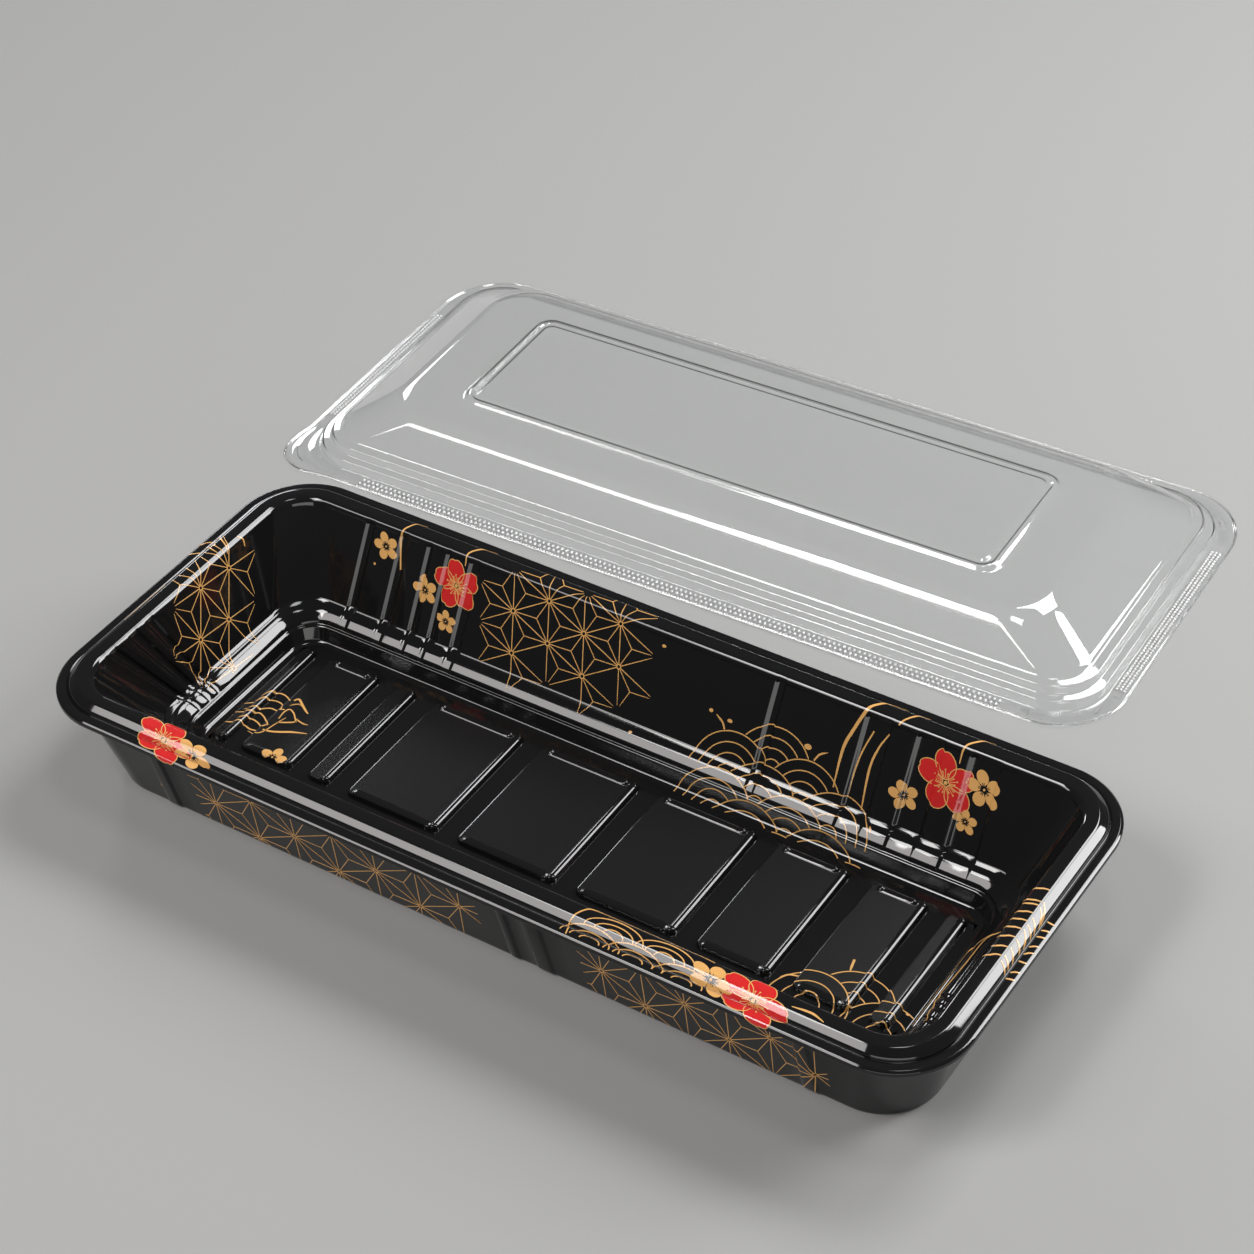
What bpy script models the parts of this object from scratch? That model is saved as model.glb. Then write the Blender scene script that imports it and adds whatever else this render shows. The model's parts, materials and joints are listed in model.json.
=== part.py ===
"""Takeaway sushi tray: a printed black tray and its clear lid, which lies behind it.

The tray is a double-walled plastic moulding. An outer skirt stands on the table, a stepped rim joins it to an
inner basin, and the basin's floor carries nine raised panels with sunken channels between them. The lid is one
thin clear shell: a flat flange, two steps, a sloping dome wall and a flat top with a raised centre field.
Sizes are in millimetres here and the meshes are made in metres.
"""

import math

import bmesh
import bpy
from mathutils import Matrix

MM = 0.001

# Outline shared by the tray and the lid
OUTLINE_LENGTH = 216.0
OUTLINE_WIDTH = 91.5
OUTLINE_RADIUS = 16.6
CORNER_STEPS = 7

# Heights of the tray
RIM_HEIGHT = 26.3
FLANGE_HEIGHT = 24.3
LEDGE_HEIGHT = 6.9
SHEET = 0.9
PANEL_HEIGHT = 1.7

# Vertical flutes pressed into the walls: places along a side, and places as shares of an end's straight run
BASIN_FLUTES = (-78.0, -69.0, -50.0, 27.5, 48.0, 60.0, 72.0)
SKIRT_FLUTES = (-78.0, 17.0, 78.0)
END_FLUTES = (-0.85, -0.6, -0.35)
FLUTE_HALF_WIDTH = 1.6
END_FLUTE_HALF_SHARE = 0.06
FLUTE_DEPTH = 0.6

# Floor panels, as left and right edges along the tray
PANELS = (
    (-84.5, -80.6),
    (-76.8, -63.0),
    (-58.5, -53.0),
    (-48.0, -24.5),
    (-19.6, 5.1),
    (10.0, 34.2),
    (39.0, 56.2),
    (61.2, 74.4),
    (78.5, 83.2),
)
PANEL_HALF_WIDTH = 16.8
PANEL_RADIUS = 1.5
PANEL_DRAFT = 0.5
PANEL_CORNER_STEPS = 2

# The lid and where it lies
LID_SHEET = 0.8
LID_HEIGHT = 14.6
LID_PLACE = (-28.0, 119.3)
LID_TURN = math.radians(2.0)
TAB_REACH = 4.5
LID_CORNER_STEPS = 10

# Materials
TRAY_BLACK = (0.012, 0.012, 0.013, 1.0)
LID_CLEAR = (0.86, 0.88, 0.88, 1.0)


def clear_scene():
    """Removes whatever objects the open file holds."""
    for item in list(bpy.data.objects):
        bpy.data.objects.remove(item, do_unlink=True)


def make_material(name, colour, roughness, alpha=1.0):
    """A Principled material in one colour."""
    material = bpy.data.materials.new(name)
    material.use_nodes = True
    shader = material.node_tree.nodes["Principled BSDF"]
    shader.inputs["Base Color"].default_value = colour
    shader.inputs["Roughness"].default_value = roughness
    shader.inputs["Metallic"].default_value = 0.0
    shader.inputs["Alpha"].default_value = alpha
    return material


def corner_arc(centre_x, centre_y, radius, start, steps, tab=0.0):
    """Points of a quarter circle from the angle start; a tab pushes the middle of the arc outwards."""
    points = []
    for step in range(steps + 1):
        share = step / steps
        angle = start + share * math.pi / 2
        reach = radius + tab * math.sin(share * math.pi) ** 2
        points.append((centre_x + reach * math.cos(angle), centre_y + reach * math.sin(angle)))
    return points


def side_stations():
    """Every place along a long side that a ring needs a point for, with the flutes that it belongs to."""
    centres = sorted(set(BASIN_FLUTES) | set(SKIRT_FLUTES))
    stations = []
    for centre in centres:
        stations.append((centre - FLUTE_HALF_WIDTH, None))
        stations.append((centre, centre))
        stations.append((centre + FLUTE_HALF_WIDTH, None))
    return stations


def end_stations():
    """The same along an end, as shares of the straight run."""
    stations = []
    for centre in END_FLUTES:
        stations.append((centre - END_FLUTE_HALF_SHARE, None))
        stations.append((centre, centre))
        stations.append((centre + END_FLUTE_HALF_SHARE, None))
    return stations


def fluted_ring(end_inset, side_inset, radius, height, flutes=()):
    """One level of the tray, as points around a rounded rectangle, anticlockwise from the front side."""
    half_length = OUTLINE_LENGTH / 2 - end_inset
    half_width = OUTLINE_WIDTH / 2 - side_inset
    run_x = half_length - radius
    run_y = half_width - radius
    sides = [(x, FLUTE_DEPTH if centre in flutes else 0.0) for x, centre in side_stations()]
    ends = [(share * run_y, FLUTE_DEPTH if centre in flutes else 0.0) for share, centre in end_stations()]
    points = [(x, -half_width - depth) for x, depth in sides]
    points += corner_arc(run_x, -run_y, radius, -math.pi / 2, CORNER_STEPS)
    points += [(half_length + depth, y) for y, depth in ends]
    points += corner_arc(run_x, run_y, radius, 0.0, CORNER_STEPS)
    points += [(x, half_width + depth) for x, depth in reversed(sides)]
    points += corner_arc(-run_x, run_y, radius, math.pi / 2, CORNER_STEPS)
    points += [(-half_length - depth, y) for y, depth in reversed(ends)]
    points += corner_arc(-run_x, -run_y, radius, math.pi, CORNER_STEPS)
    return [(x, y, height) for x, y in points]


def plain_ring(end_inset, side_inset, radius, height, steps, tab=0.0):
    """One level of the lid; the tab sits on the front left corner."""
    run_x = OUTLINE_LENGTH / 2 - end_inset - radius
    run_y = OUTLINE_WIDTH / 2 - side_inset - radius
    points = corner_arc(run_x, -run_y, radius, -math.pi / 2, steps)
    points += corner_arc(run_x, run_y, radius, 0.0, steps)
    points += corner_arc(-run_x, run_y, radius, math.pi / 2, steps)
    points += corner_arc(-run_x, -run_y, radius, math.pi, steps, tab)
    return [(x, y, height) for x, y in points]


def add_ring(mesh, points):
    """Puts one ring's points in the mesh, in metres."""
    return [mesh.verts.new((x * MM, y * MM, z * MM)) for x, y, z in points]


def bridge(mesh, lower, upper):
    """Joins two rings of equal count with quads."""
    count = len(lower)
    for index in range(count):
        after = (index + 1) % count
        mesh.faces.new((lower[index], lower[after], upper[after], upper[index]))


def tray_levels():
    """The tray's rings in order: up the basin, over the rim, down the skirt and back under the basin."""
    inner = BASIN_FLUTES + END_FLUTES
    ledge = LEDGE_HEIGHT
    rim = RIM_HEIGHT
    flange = FLANGE_HEIGHT
    basin = [
        fluted_ring(21.8, 25.4, 6.0, SHEET),
        fluted_ring(21.0, 24.6, 6.4, SHEET + 0.6),
        fluted_ring(19.4, 23.0, 7.4, ledge - 1.4),
        fluted_ring(18.8, 22.3, 7.8, ledge - 0.5),
        fluted_ring(17.6, 21.1, 8.8, ledge),
        fluted_ring(16.0, 19.5, 9.6, ledge + 0.1),
        fluted_ring(15.2, 18.6, 9.9, ledge + 1.0, inner),
        fluted_ring(8.4, 8.4, 9.2, rim - 1.6, inner),
    ]
    rim_top = [
        fluted_ring(8.1, 8.1, 9.0, rim - 0.7),
        fluted_ring(7.4, 7.4, 9.6, rim),
        fluted_ring(4.2, 4.2, 12.6, rim),
        fluted_ring(3.3, 3.3, 13.3, rim - 0.6),
        fluted_ring(2.9, 2.9, 13.7, flange),
        fluted_ring(0.4, 0.4, 16.2, flange),
        fluted_ring(0.0, 0.0, OUTLINE_RADIUS, flange - 0.4),
        fluted_ring(0.0, 0.0, OUTLINE_RADIUS, flange - 1.4),
        fluted_ring(0.8, 0.8, 15.8, flange - 1.4),
    ]
    skirt = [
        fluted_ring(3.6, 3.6, 13.6, flange - SHEET),
        fluted_ring(4.1, 4.1, 13.4, flange - 2.6, SKIRT_FLUTES),
        fluted_ring(8.9, 8.9, 12.8, 1.2, SKIRT_FLUTES),
        fluted_ring(9.5, 9.5, 12.4, 0.0),
        fluted_ring(10.4, 10.4, 11.8, 0.0),
        fluted_ring(5.0, 5.0, 12.4, flange - 2.0),
    ]
    underside = [
        fluted_ring(4.9, 4.9, 12.0, rim - SHEET),
        fluted_ring(6.8, 6.8, 10.2, rim - SHEET),
        fluted_ring(7.3, 7.3, 10.0, rim - 2.0, inner),
        fluted_ring(14.1, 17.4, 10.8, ledge + 0.2, inner),
        fluted_ring(15.4, 19.0, 10.2, ledge - 0.9),
        fluted_ring(17.7, 21.3, 8.6, ledge - 1.0),
        fluted_ring(20.0, 23.7, 7.2, SHEET),
        fluted_ring(21.0, 24.7, 6.4, 0.0),
    ]
    return basin + rim_top + skirt + underside


def panel_loop(left, right, inset, height):
    """A floor panel's outline at one height."""
    centre = (left + right) / 2
    run_x = (right - left) / 2 - PANEL_RADIUS
    run_y = PANEL_HALF_WIDTH - PANEL_RADIUS
    radius = PANEL_RADIUS - inset
    points = corner_arc(centre + run_x, -run_y, radius, -math.pi / 2, PANEL_CORNER_STEPS)
    points += corner_arc(centre + run_x, run_y, radius, 0.0, PANEL_CORNER_STEPS)
    points += corner_arc(centre - run_x, run_y, radius, math.pi / 2, PANEL_CORNER_STEPS)
    points += corner_arc(centre - run_x, -run_y, radius, math.pi, PANEL_CORNER_STEPS)
    return [(x, y, height) for x, y in points]


def loop_edges(mesh, ring):
    """The edges around a ring, made where they are missing."""
    edges = []
    for index, vertex in enumerate(ring):
        after = ring[(index + 1) % len(ring)]
        edge = mesh.edges.get((vertex, after))
        edges.append(edge or mesh.edges.new((vertex, after)))
    return edges


def fill_floor(mesh, foot):
    """Closes the basin's floor around the raised panels."""
    edges = loop_edges(mesh, foot)
    for left, right in PANELS:
        base = add_ring(mesh, panel_loop(left, right, 0.0, SHEET))
        top = add_ring(mesh, panel_loop(left, right, PANEL_DRAFT, PANEL_HEIGHT))
        bridge(mesh, base, top)
        mesh.faces.new(top)
        edges += loop_edges(mesh, base)
    bmesh.ops.triangle_fill(mesh, use_beauty=True, use_dissolve=False, edges=edges, normal=(0.0, 0.0, 1.0))


def finish_object(mesh, name, material, collection):
    """Turns the working mesh into an object with its faces pointing out."""
    bmesh.ops.recalc_face_normals(mesh, faces=mesh.faces)
    data = bpy.data.meshes.new(name)
    mesh.to_mesh(data)
    mesh.free()
    data.materials.append(material)
    data.shade_smooth()
    data.set_sharp_from_angle(angle=math.radians(35))
    item = bpy.data.objects.new(name, data)
    collection.objects.link(item)
    return item


def build_tray(collection):
    """The black tray, one closed body."""
    mesh = bmesh.new()
    rings = [add_ring(mesh, level) for level in tray_levels()]
    for lower, upper in zip(rings, rings[1:]):
        bridge(mesh, lower, upper)
    mesh.faces.new(rings[-1])
    fill_floor(mesh, rings[0])
    material = make_material("tray black", TRAY_BLACK, 0.12)
    return finish_object(mesh, "tray", material, collection)


def lid_levels():
    """The lid's outer surface from the flange's edge to the raised field on top."""
    steps = LID_CORNER_STEPS
    top = LID_HEIGHT
    return [
        plain_ring(0.0, 0.0, OUTLINE_RADIUS, LID_SHEET, steps, TAB_REACH),
        plain_ring(4.6, 4.6, 12.8, LID_SHEET, steps),
        plain_ring(5.2, 5.2, 12.3, 2.8, steps),
        plain_ring(6.9, 6.9, 11.2, 3.1, steps),
        plain_ring(7.5, 7.5, 10.8, 4.9, steps),
        plain_ring(9.3, 9.3, 9.8, 5.2, steps),
        plain_ring(10.1, 10.0, 9.6, 6.0, steps),
        plain_ring(21.3, 15.4, 11.4, top - 1.9, steps),
        plain_ring(23.3, 17.2, 10.6, top - 1.0, steps),
        plain_ring(37.4, 26.1, 4.6, top - 1.0, steps),
        plain_ring(38.3, 27.0, 3.8, top, steps),
    ]


def build_lid(collection):
    """The clear lid, an open surface with a wall thickness."""
    mesh = bmesh.new()
    rings = [add_ring(mesh, level) for level in lid_levels()]
    for lower, upper in zip(rings, rings[1:]):
        bridge(mesh, lower, upper)
    mesh.faces.new(rings[-1])
    material = make_material("lid clear", LID_CLEAR, 0.05, 0.35)
    lid = finish_object(mesh, "lid", material, collection)
    wall = lid.modifiers.new("wall", "SOLIDIFY")
    wall.thickness = LID_SHEET * MM
    wall.offset = -1.0
    wall.use_even_offset = True
    place = Matrix.Translation((LID_PLACE[0] * MM, LID_PLACE[1] * MM, 0.0))
    lid.matrix_world = place @ Matrix.Rotation(LID_TURN, 4, "Z")
    return lid


def main():
    clear_scene()
    collection = bpy.data.collections.new("takeaway sushi tray")
    bpy.context.scene.collection.children.link(collection)
    build_tray(collection)
    build_lid(collection)


main()
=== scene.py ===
import json
import math

import bmesh
import bpy
import numpy as np
from mathutils import Matrix, Vector

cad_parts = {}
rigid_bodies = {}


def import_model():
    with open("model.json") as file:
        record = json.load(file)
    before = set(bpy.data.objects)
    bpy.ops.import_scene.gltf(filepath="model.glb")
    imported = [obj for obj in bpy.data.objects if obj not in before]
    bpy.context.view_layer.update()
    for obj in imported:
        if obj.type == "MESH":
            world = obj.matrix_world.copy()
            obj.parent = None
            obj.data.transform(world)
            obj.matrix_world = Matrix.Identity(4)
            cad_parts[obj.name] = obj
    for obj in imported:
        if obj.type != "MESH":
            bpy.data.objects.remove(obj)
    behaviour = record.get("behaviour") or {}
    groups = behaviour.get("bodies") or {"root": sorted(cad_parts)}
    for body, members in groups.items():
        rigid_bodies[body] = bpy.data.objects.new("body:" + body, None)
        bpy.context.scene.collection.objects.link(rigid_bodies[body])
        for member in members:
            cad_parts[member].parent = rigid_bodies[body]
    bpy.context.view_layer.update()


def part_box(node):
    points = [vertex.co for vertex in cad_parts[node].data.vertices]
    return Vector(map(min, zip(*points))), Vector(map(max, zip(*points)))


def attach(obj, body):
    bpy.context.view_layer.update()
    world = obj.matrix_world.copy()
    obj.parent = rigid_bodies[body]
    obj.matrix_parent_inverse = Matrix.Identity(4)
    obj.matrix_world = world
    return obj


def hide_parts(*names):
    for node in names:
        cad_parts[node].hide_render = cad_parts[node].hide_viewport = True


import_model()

mm = 0.001  # sizes below are in millimetres, meshes in metres
seamRoom = 0.000002  # metres: points nearer than this become one
fullRounding = 0.98  # share of the way between two corners that their roundings may take

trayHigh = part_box("tray")[1]
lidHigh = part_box("lid")[1]
halfLength = trayHigh.x / mm
halfWidth = trayHigh.y / mm
rimHeight = trayHigh.z / mm
lidHeight = lidHigh.z / mm


# Small helpers

def deselectAll():
    if bpy.context.mode != "OBJECT":
        bpy.ops.object.mode_set(mode="OBJECT")
    bpy.ops.object.select_all(action="DESELECT")


def makeActive(piece):
    deselectAll()
    piece.select_set(True)
    bpy.context.view_layer.objects.active = piece


def editPiece(piece, action):
    makeActive(piece)
    bpy.ops.object.mode_set(mode="EDIT")
    bpy.ops.mesh.select_all(action=action)


def renamePiece(piece, name):
    piece.name = name
    piece.data.name = name
    return piece


def thicken(piece, sheet, even=False):
    makeActive(piece)
    modifier = piece.modifiers.new("Solidify", "SOLIDIFY")
    modifier.thickness = sheet * mm
    modifier.offset = -1.0
    modifier.use_even_offset = even
    bpy.ops.object.modifier_apply(modifier=modifier.name)


def shadeSmooth(piece, degrees):
    makeActive(piece)
    bpy.ops.object.shade_smooth_by_angle(angle=math.radians(degrees))


def mergeSeam(piece):
    editPiece(piece, "SELECT")
    bpy.ops.mesh.remove_doubles(threshold=seamRoom)
    bpy.ops.mesh.normals_make_consistent(inside=False)
    bpy.ops.object.mode_set(mode="OBJECT")


def closeEdges(piece, test, operator):
    # runs the operator on the open edges whose middle passes the test
    editPiece(piece, "DESELECT")
    mesh = bmesh.from_edit_mesh(piece.data)
    for edge in mesh.edges:
        middle = (edge.verts[0].co + edge.verts[1].co) / 2
        if edge.is_boundary and test(middle / mm):
            edge.select_set(True)
    bmesh.update_edit_mesh(piece.data)
    operator()
    bpy.ops.object.mode_set(mode="OBJECT")


def meshPiece(name, points, faces):
    mesh = bpy.data.meshes.new(name)
    mesh.from_pydata((np.array(points) * mm).tolist(), [], faces)
    piece = bpy.data.objects.new(name, mesh)
    bpy.context.scene.collection.objects.link(piece)
    return piece


def bendGrid(name, points):
    rows, columns = points.shape[:2]
    deselectAll()
    bpy.ops.mesh.primitive_grid_add(x_subdivisions=columns - 1, y_subdivisions=rows - 1, size=2)
    piece = renamePiece(bpy.context.object, name)
    flat = np.empty(len(piece.data.vertices) * 3)
    piece.data.vertices.foreach_get("co", flat)
    flat = flat.reshape(-1, 3)
    column = np.rint((flat[:, 0] + 1) / 2 * (columns - 1)).astype(int)
    row = np.rint((flat[:, 1] + 1) / 2 * (rows - 1)).astype(int)
    piece.data.vertices.foreach_set("co", (points[row, column] * mm).ravel())
    piece.data.update()
    return piece


def smoothStep(low, high, value):
    share = np.clip((value - low) / (high - low), 0.0, 1.0)
    return share * share * (3 - 2 * share)


def thinned(values, limit, gap):
    values = sorted(value for value in values if abs(value) <= limit)
    kept = [values[0]]
    for value in values[1:]:
        if value - kept[-1] > gap:
            kept.append(value)
    return np.array(kept)


def roundPath(rows, hiddenFrom=None, steps=5, hiddenSteps=2):
    # rounds each corner of a profile, with fewer steps where it is underneath. A row's fifth value is its
    # rounding, and the last two are 0 where they are left out
    roundings = [row[4] for row in rows]
    corners = [np.array((*row[:4], *row[5:], 0, 0)[:6], float) for row in rows]
    path = []
    for index, (here, rounding) in enumerate(zip(corners, roundings)):
        if rounding == 0:
            path.append(here)
            continue
        ends = []
        for near in (index - 1, index + 1):
            toward = corners[near] - here
            most = rounding / (rounding + roundings[near]) * fullRounding
            ends.append(here + toward * min(rounding / np.hypot(toward[1], toward[3]), most))
        hidden = hiddenFrom is not None and index >= hiddenFrom
        for share in np.linspace(0, 1, (hiddenSteps if hidden else steps) + 1):
            rest = 1 - share
            path.append(rest ** 2 * ends[0] + 2 * share * rest * here + share ** 2 * ends[1])
    return np.array(path)


def setInputs(node, inputs):
    for key, value in inputs.items():
        node.inputs[key].default_value = value
    return node


def addNode(tree, kind, inputs=()):
    return setInputs(tree.nodes.new(kind), dict(inputs))


def wire(giver, output, taker, socket):
    giver.id_data.links.new(giver.outputs[output], taker.inputs[socket])


def newMaterial(name, settings):
    material = bpy.data.materials.new(name)
    material.use_nodes = True
    shader = material.node_tree.nodes["Principled BSDF"]
    setInputs(shader, {"Base Color": settings["colour"], "Roughness": settings["gloss"]})
    setInputs(shader, {"IOR": settings["index"], "Transmission Weight": settings.get("clear", 0)})
    return material, material.node_tree, shader


# Camera at the photo's viewing angle

camera = {
    "eye": (274.33, -372.26, 447.47),
    "right": (0.83972, 0.54146, -0.04114),
    "up": (-0.32476, 0.56148, 0.76110),
    "back": (0.43521, -0.62575, 0.64733),
    "lens": 88.22,
    "sensor": 36,
    "clipStart": 0.01,
}


def placeCamera(settings):
    deselectAll()
    bpy.ops.object.camera_add()
    view = bpy.context.object
    view.name = "camera"
    axes = Matrix((settings["right"], settings["up"], settings["back"])).transposed().to_4x4()
    view.matrix_world = Matrix.Translation(Vector(settings["eye"]) * mm) @ axes
    view.data.lens = settings["lens"]
    view.data.sensor_width = settings["sensor"]
    view.data.clip_start = settings["clipStart"]
    bpy.context.scene.camera = view


placeCamera(camera)
print("camera placed")

# Lights and floor

middleOfTray = (0, 40, 10)
softBoxes = {
    "front": {"at": (-420, -588, 691), "size": (640, 240), "power": 4.8, "colour": (1, 0.965, 0.95),
              "aim": (-420, 40, 10)},
    "key": {"at": (-260, -380, 760), "size": (230, 230), "power": 3.6, "colour": (1, 0.99, 0.98)},
    "right": {"at": (560, 580, 500), "size": (300, 520), "power": 9},
    "left": {"at": (-710, 575, 415), "size": (180, 170), "power": 1.7, "colour": (0.97, 0.98, 1)},
    "low": {"at": (520, -900, 300), "size": (1100, 500), "power": 5.5, "colour": (1, 0.99, 0.97)},
    "back": {"at": (110, 560, 700), "size": (380, 260), "power": 5.4},
    "top": {"at": (120, 60, 980), "size": (200, 160), "power": 1.2, "colour": (0.98, 0.99, 1)},
}


def addSoftBox(name, settings):
    deselectAll()
    bpy.ops.object.light_add(type="AREA", location=Vector(settings["at"]) * mm)
    light = bpy.context.object
    light.name = "softBox." + name
    light.data.shape = "RECTANGLE"
    light.data.size = settings["size"][0] * mm
    light.data.size_y = settings["size"][1] * mm
    light.data.energy = settings["power"]
    light.data.color = settings.get("colour", (1, 1, 1))
    aim = Vector(settings.get("aim", middleOfTray)) * mm - light.location
    light.rotation_euler = aim.to_track_quat("-Z", "Y").to_euler()


for boxName, boxSettings in softBoxes.items():
    addSoftBox(boxName, boxSettings)

studio = {
    "world": (0.30, 0.305, 0.31),
    "worldStrength": 0.35,
    "floor": {"colour": (0.215, 0.215, 0.212, 1), "gloss": 0.8, "index": 1.5},
    "floorSize": 6,  # metres
}


def makeStudio(settings):
    world = bpy.data.worlds.new("studio")
    bpy.context.scene.world = world
    world.use_nodes = True
    setInputs(world.node_tree.nodes["Background"],
              {"Color": (*settings["world"], 1), "Strength": settings["worldStrength"]})
    deselectAll()
    bpy.ops.mesh.primitive_plane_add(size=settings["floorSize"])
    ground = bpy.context.object
    ground.name = "floor"
    ground.data.materials.append(newMaterial("pale floor", settings["floor"])[0])
    bpy.context.scene.view_settings.view_transform = "Standard"


makeStudio(studio)
print("studio ready")

# Materials

blackPlastic = {
    "colour": (0.0042, 0.0042, 0.0045, 1),
    "index": 1.44,
    "gloss": 0.05,
    "haze": 0.11,
    "wear": {"Scale": 90, "Detail": 4, "Roughness": 0.6},
    "wearRange": (0.35, 0.75),
    "satin": 0.24,
    "satinHeight": 0.0017,  # metres: only the flats of the plates are satin
    "satinRoom": 0.00003,
    "ripple": {"Scale": 160, "Detail": 1},
    "rippleBump": {"Strength": 0.05, "Distance": 0.0002},
}


def makeBlackPlastic(settings):
    material, tree, shader = newMaterial("gloss black plastic", settings)
    place = addNode(tree, "ShaderNodeTexCoord")
    wear = addNode(tree, "ShaderNodeTexNoise", settings["wear"])
    wire(place, "Object", wear, "Vector")
    low, high = settings["wearRange"]
    spread = addNode(tree, "ShaderNodeMapRange", {
        "From Min": low, "From Max": high, "To Min": settings["gloss"], "To Max": settings["haze"]})
    wire(wear, "Fac", spread, "Value")
    axes = addNode(tree, "ShaderNodeSeparateXYZ")
    wire(place, "Object", axes, "Vector")
    flat = addNode(tree, "ShaderNodeMath")
    flat.operation = "COMPARE"
    setInputs(flat, {1: settings["satinHeight"], 2: settings["satinRoom"]})
    wire(axes, "Z", flat, 0)
    finish = addNode(tree, "ShaderNodeMix", {"B": settings["satin"]})
    wire(flat, "Value", finish, "Factor")
    wire(spread, "Result", finish, "A")
    wire(finish, "Result", shader, "Roughness")
    ripple = addNode(tree, "ShaderNodeTexNoise", settings["ripple"])
    wire(place, "Object", ripple, "Vector")
    bump = addNode(tree, "ShaderNodeBump", settings["rippleBump"])
    wire(ripple, "Fac", bump, "Height")
    wire(bump, "Normal", shader, "Normal")
    return material


clearPlastic = {
    "colour": (0.985, 0.985, 0.985, 1),
    "gloss": 0.03,
    "index": 1.5,
    "clear": 1,
    "passed": (0.94, 0.95, 0.95, 1),
}


def makeClearPlastic(settings):
    material, tree, surface = newMaterial("clear plastic", settings)
    path = addNode(tree, "ShaderNodeLightPath")
    passed = addNode(tree, "ShaderNodeBsdfTransparent", {"Color": settings["passed"]})
    for ray in ("Is Diffuse Ray", "Is Shadow Ray"):  # lamps and scattered light go straight through
        mix = addNode(tree, "ShaderNodeMixShader")
        wire(path, ray, mix, "Fac")
        wire(surface, 0, mix, 1)
        wire(passed, "BSDF", mix, 2)
        surface = mix
    wire(surface, "Shader", tree.nodes["Material Output"], "Surface")
    return material


# painted highlight: the knurl domes get a white diffuse share and less transmission than the clear lid, so
# that they show as bright glints
glintWhitePlastic = {"colour": (0.95, 0.95, 0.95, 1), "gloss": 0.12, "index": 1.5, "clear": 0.62}
blackMaterial = makeBlackPlastic(blackPlastic)
clearMaterial = makeClearPlastic(clearPlastic)
glintWhiteMaterial = newMaterial("clear plastic whitened as painted glints", glintWhitePlastic)[0]

# Tray: one double-walled moulding, from the basin's floor up over the rim, down the skirt and back underneath

tray = {
    "cornerSteps": 18,
    "underside": 21,  # profile rows from here on are underneath and need fewer steps
    "sheet": 0.9,
    "flange": 24.3,
    "ledge": 7,
    "cutDepth": 0.6,
    "inkRoom": 0.10,  # the moulding stays this far inside its box, so that the print on it does too
    "cutEdge": 0.45,  # half the width of the slope at a cut's edge
    "basinCuts": ((-79.3, -77.3), (-70, -67.8), (-62.6, -61.6), (-57.4, -56.4), (-51.2, -48.8),
                  (26.6, 28.6), (48, 53.8), (60, 66), (72.2, 78.8)),
    "skirtCuts": ((-79.4, -76.2), (8.8, 10.8), (15.2, 19), (76.2, 79.4)),
    "endCuts": ((-0.94, -0.86), (-0.72, -0.62), (-0.52, -0.44)),  # shares of the end's straight run
    "endCutEdge": 0.018,
    "cutSteps": (-1, -0.55, 0, 0.55, 1),  # stations over a cut's edge, in shares of its half width
    "cutGap": 0.3,  # stations nearer than this share of it are left out
    "sideStations": (8, 79.9),  # spacing and reach
    "endStations": (0.25, 0.98),
    "levelRoom": 0.001,
    "smooth": 40,
}


def cutShare(cuts, edge, value):
    share = np.zeros_like(value, float)
    for start, end in cuts:
        rise = smoothStep(start - edge, start + edge, value)
        fall = 1 - smoothStep(end - edge, end + edge, value)
        share = share + rise * fall
    return share


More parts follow.
